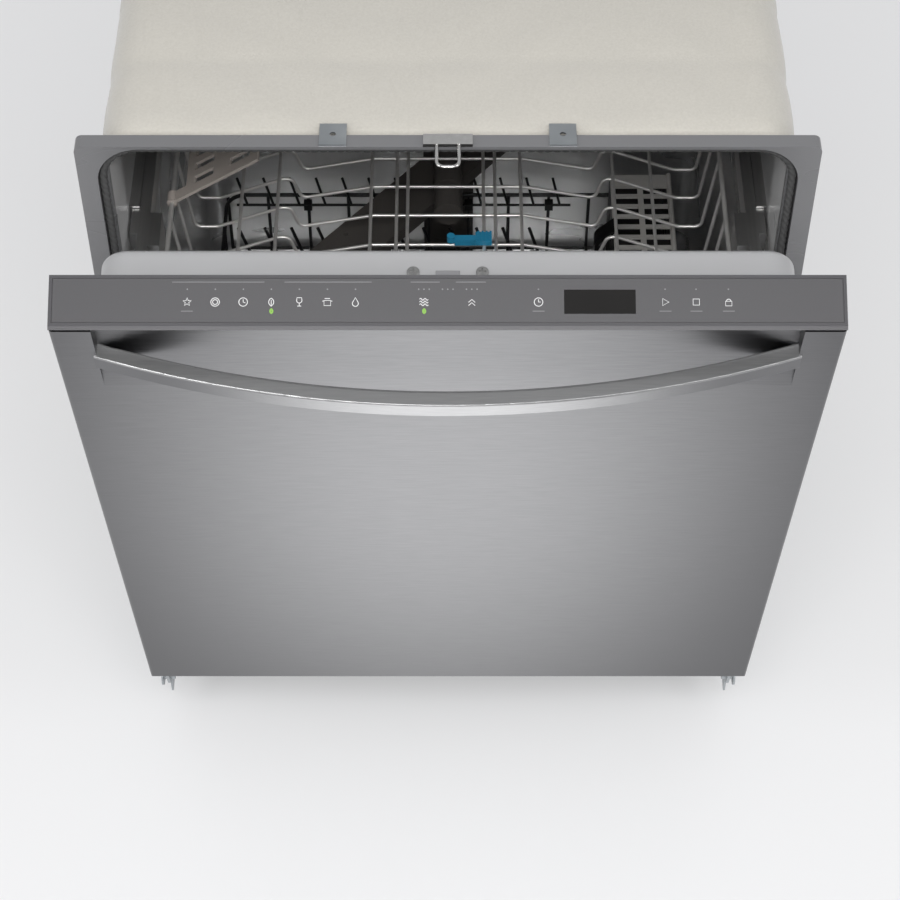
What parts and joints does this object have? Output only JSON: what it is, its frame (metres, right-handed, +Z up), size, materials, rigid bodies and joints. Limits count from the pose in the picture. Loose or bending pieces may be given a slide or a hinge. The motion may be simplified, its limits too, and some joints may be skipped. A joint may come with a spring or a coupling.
{
  "type": "dishwasher",
  "caption": "Built-in dishwasher, steel door ajar on bottom hinges, bowed bar handle, top-edge console, sliding wire racks, spray arms and cutlery basket in a stainless tub.",
  "frame": {"origin": "middle of the footprint at floor level, with the door ajar as stored", "axes": "+Z up, +X to the right as seen from in front, -Y towards the person who opens the door"},
  "size_m": [0.604, 0.7773, 0.8584],
  "materials": {
    "stainless_tub": "satin",
    "door_steel": "brushed",
    "handle_steel": "satin",
    "zinc_steel": "galvanised",
    "rail_steel": "satin",
    "bright_wire": "polished",
    "liner_grey": "satin",
    "console_grey": "satin",
    "display_black": "gloss",
    "board_green": "matt",
    "black_plastic": "satin",
    "grey_plastic": "satin",
    "taupe_plastic": "satin",
    "blue_plastic": "satin",
    "coated_wire": "nylon coated",
    "dark_wire": "nylon coated",
    "black_rubber": "matt",
    "felt": "matt felt"
  },
  "bodies": {
    "cabinet": {"tub": "stainless_tub", "tub_gasket": "black_rubber", "insulation_blanket": "felt", "left_side_frame": "zinc_steel", "right_side_frame": "zinc_steel", "front_crossmember": "zinc_steel", "rear_crossmember": "zinc_steel", "frame_screws": "bright_wire", "base_pan": "black_plastic", "toe_kick_panel": "black_plastic", "sump": "grey_plastic", "filter_plate": "stainless_tub", "wash_pump_motor": "black_plastic", "drain_pump": "black_plastic", "inlet_valve": "grey_plastic", "junction_box": "zinc_steel", "heating_element": "bright_wire", "water_conduit": "grey_plastic", "door_strike": "bright_wire", "counter_brackets": "zinc_steel", "outer_rails": "rail_steel"},
    "door": {"outer_panel": "door_steel", "handle": "handle_steel", "inner_liner": "liner_grey", "latch_screws": "bright_wire", "left_hinge_arm": "zinc_steel", "right_hinge_arm": "zinc_steel", "bottom_seal": "black_rubber", "console": "console_grey", "control_overlay": "console_grey", "display_window": "display_black", "control_board": "board_green", "latch_housing": "black_plastic", "dispenser_body": "grey_plastic"},
    "dispenser_lid": {"dispenser_lid": "grey_plastic"},
    "rinse_cap": {"rinse_cap": "grey_plastic"},
    "upper_rails": {"middle_rails": "rail_steel"},
    "upper_rack": {"rack_rails": "rail_steel", "upper_rack": "coated_wire", "rack_feed_tube": "grey_plastic", "blue_clip": "blue_plastic"},
    "middle_arm": {"middle_spray_arm": "grey_plastic"},
    "left_tines": {"left_tine_row": "black_plastic"},
    "right_tines": {"right_tine_row": "black_plastic"},
    "cup_shelf": {"cup_shelf": "taupe_plastic"},
    "lower_rack": {"lower_rack": "dark_wire", "tine_clips": "black_plastic"},
    "front_wheels": {"front_wheels": "grey_plastic"},
    "rear_wheels": {"rear_wheels": "grey_plastic"},
    "basket": {"silverware_basket": "taupe_plastic", "basket_strap": "black_plastic"},
    "basket_lid": {"basket_lid": "taupe_plastic"},
    "lower_arm": {"lower_spray_arm": "grey_plastic"},
    "ceiling_arm": {"ceiling_spray_arm": "grey_plastic"},
    "float": {"float_cap": "grey_plastic"},
    "filter": {"filter_cylinder": "grey_plastic"},
    "front_left_foot": {"front_left_foot": "black_rubber"},
    "front_right_foot": {"front_right_foot": "black_rubber"},
    "rear_left_foot": {"rear_left_foot": "black_rubber"},
    "rear_right_foot": {"rear_right_foot": "black_rubber"}
  },
  "joints": [
    {"name": "door_hinge", "type": "hinge", "parent": "cabinet", "child": "door", "pos_m": [0, -0.17533, 0.11], "axis": [1, 0, 0], "range_deg": [-11.68, 78.32]},
    {"name": "upper_rails_slide", "type": "slide", "parent": "cabinet", "child": "upper_rails", "axis": [0, -1, 0], "range_m": [-0.03108, 0.20554]},
    {"name": "upper_rack_slide", "type": "slide", "parent": "upper_rails", "child": "upper_rack", "axis": [0, -1, 0], "range_m": [-0.03108, 0.20554]},
    {"name": "lower_rack_slide", "type": "slide", "parent": "cabinet", "child": "lower_rack", "axis": [0, -1, 0], "range_m": [-0.02496, 0.16453]},
    {"name": "middle_arm_spin", "type": "hinge", "parent": "upper_rack", "child": "middle_arm", "pos_m": [0, 0.11351, 0.5655], "axis": [0, 0, 1], "continuous": true},
    {"name": "left_tine_fold", "type": "hinge", "parent": "lower_rack", "child": "left_tines", "pos_m": [-0.236, 0.3246, 0.3], "axis": [1, 0, 0], "range_deg": [0, 80]},
    {"name": "right_tine_fold", "type": "hinge", "parent": "lower_rack", "child": "right_tines", "pos_m": [0.014, 0.3246, 0.3], "axis": [1, 0, 0], "range_deg": [0, 80]},
    {"name": "cup_shelf_fold", "type": "hinge", "parent": "upper_rack", "child": "cup_shelf", "pos_m": [-0.246, -0.04949, 0.672], "axis": [0, -1, 0], "range_deg": [-33.5, 50]},
    {"name": "basket_lift", "type": "slide", "parent": "lower_rack", "child": "basket", "axis": [0, 0, 1], "range_m": [0, 0.12]},
    {"name": "basket_lid_hinge", "type": "hinge", "parent": "basket", "child": "basket_lid", "pos_m": [0.241, 0.1842, 0.3517], "axis": [0, 1, 0], "range_deg": [0, 110]},
    {"name": "lower_arm_spin", "type": "hinge", "parent": "cabinet", "child": "lower_arm", "pos_m": [0, 0.11667, 0.183], "axis": [0, 0, 1], "continuous": true},
    {"name": "ceiling_arm_spin", "type": "hinge", "parent": "cabinet", "child": "ceiling_arm", "pos_m": [0, 0.11667, 0.832], "axis": [0, 0, 1], "continuous": true},
    {"name": "float_lift", "type": "slide", "parent": "cabinet", "child": "float", "axis": [0, 0, 1], "range_m": [0, 0.008]},
    {"name": "filter_turn", "type": "hinge", "parent": "cabinet", "child": "filter", "pos_m": [0.046, 0.13667, 0.165], "axis": [0, 0, 1], "range_deg": [0, 45]},
    {"name": "dispenser_lid_hinge", "type": "hinge", "parent": "door", "child": "dispenser_lid", "pos_m": [0.032, -0.18004, 0.48991], "axis": [-1, 0, 0], "range_deg": [0, 100]},
    {"name": "rinse_cap_turn", "type": "hinge", "parent": "door", "child": "rinse_cap", "pos_m": [0.104, -0.18949, 0.52574], "axis": [0, 0.9793, 0.2024], "range_deg": [0, 90]},
    {"name": "front_wheels_roll", "type": "hinge", "parent": "lower_rack", "child": "front_wheels", "pos_m": [0, -0.0528, 0.1868], "axis": [1, 0, 0], "continuous": true},
    {"name": "rear_wheels_roll", "type": "hinge", "parent": "lower_rack", "child": "rear_wheels", "pos_m": [0, 0.2712, 0.1868], "axis": [1, 0, 0], "continuous": true},
    {"name": "front_left_foot_turn", "type": "hinge", "parent": "cabinet", "child": "front_left_foot", "pos_m": [-0.28, -0.05833, 0.012], "axis": [0, 0, 1], "continuous": true},
    {"name": "front_right_foot_turn", "type": "hinge", "parent": "cabinet", "child": "front_right_foot", "pos_m": [0.28, -0.05833, 0.012], "axis": [0, 0, 1], "continuous": true},
    {"name": "rear_left_foot_turn", "type": "hinge", "parent": "cabinet", "child": "rear_left_foot", "pos_m": [-0.28, 0.32167, 0.012], "axis": [0, 0, 1], "continuous": true},
    {"name": "rear_right_foot_turn", "type": "hinge", "parent": "cabinet", "child": "rear_right_foot", "pos_m": [0.28, 0.32167, 0.012], "axis": [0, 0, 1], "continuous": true}
  ],
  "couplings": [
    {"joint": "upper_rails_slide", "follows": "door_hinge", "m_per_rad": 0.15},
    {"joint": "upper_rack_slide", "follows": "door_hinge", "m_per_rad": 0.15},
    {"joint": "lower_rack_slide", "follows": "door_hinge", "m_per_rad": 0.12},
    {"joint": "front_wheels_roll", "follows": "door_hinge", "ratio": 5.5814},
    {"joint": "rear_wheels_roll", "follows": "door_hinge", "ratio": 5.5814}
  ]
}
